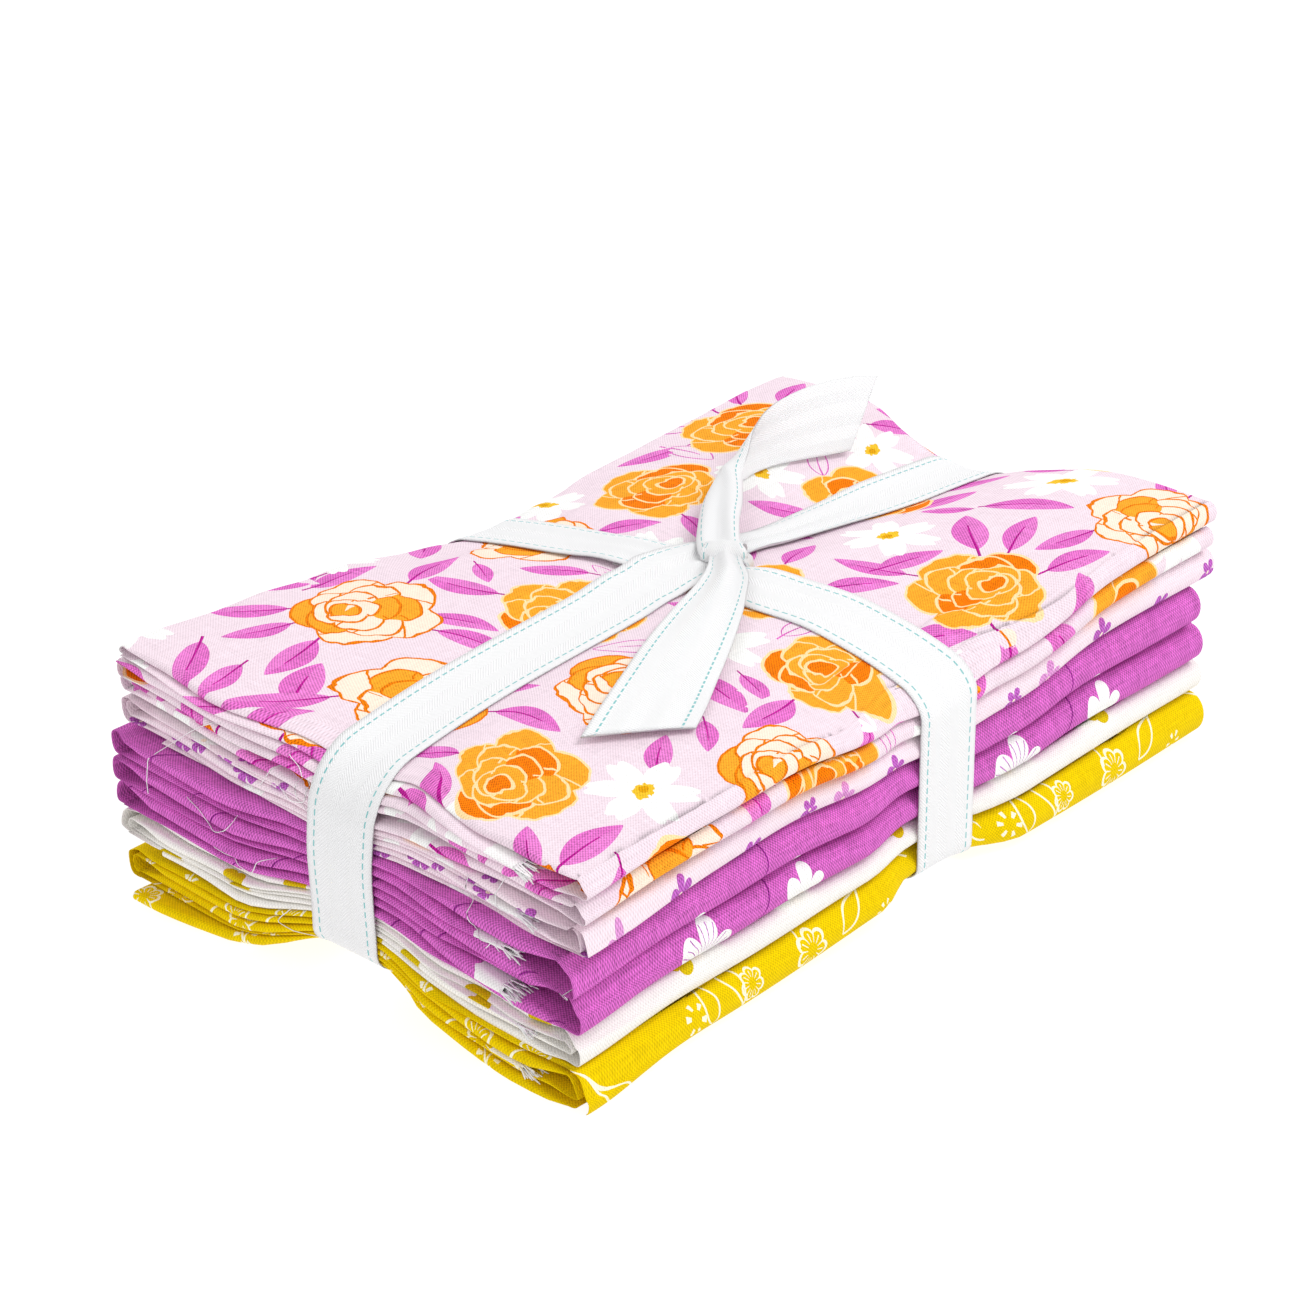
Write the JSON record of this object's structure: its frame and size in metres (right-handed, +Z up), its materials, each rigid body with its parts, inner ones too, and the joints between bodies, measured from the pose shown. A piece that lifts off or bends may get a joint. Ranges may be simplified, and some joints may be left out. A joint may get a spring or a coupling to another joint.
{
  "type": "fabric bundle",
  "caption": "Stack of folded cuts of printed quilting cotton, tied lengthwise and crosswise with white twill tape that is knotted on top and has two free ends.",
  "frame": {"origin": "middle of the footprint, at the height of the surface that the bundle lies on", "axes": "+X along the long side, towards the end away from the camera; +Y along the short side, from the front where the folds show to the back; +Z up through the stack"},
  "size_m": [0.2876, 0.1796, 0.0945],
  "materials": {
    "rose_cotton": "plain woven cotton, light pink ground with an orange and orchid flower print",
    "blossom_cotton": "plain woven cotton, pale pink ground with small orchid blossoms",
    "orchid_cotton": "plain woven cotton, orchid purple ground with white flowers",
    "cream_cotton": "plain woven cotton, cream ground with mustard spots",
    "mustard_cotton": "plain woven cotton, mustard ground with white sprigs",
    "twill_tape": "white twill tape with a pale teal stitch line along each edge"
  },
  "bodies": {
    "root": {"rose_cut": "rose_cotton", "blossom_cut": "blossom_cotton", "orchid_cut": "orchid_cotton", "cream_cut": "cream_cotton", "mustard_cut": "mustard_cotton", "tape_lengthwise": "twill_tape", "tape_crosswise": "twill_tape", "tape_knot": "twill_tape", "tape_tail_front": "twill_tape", "tape_tail_back": "twill_tape"}
  },
  "joints": []
}
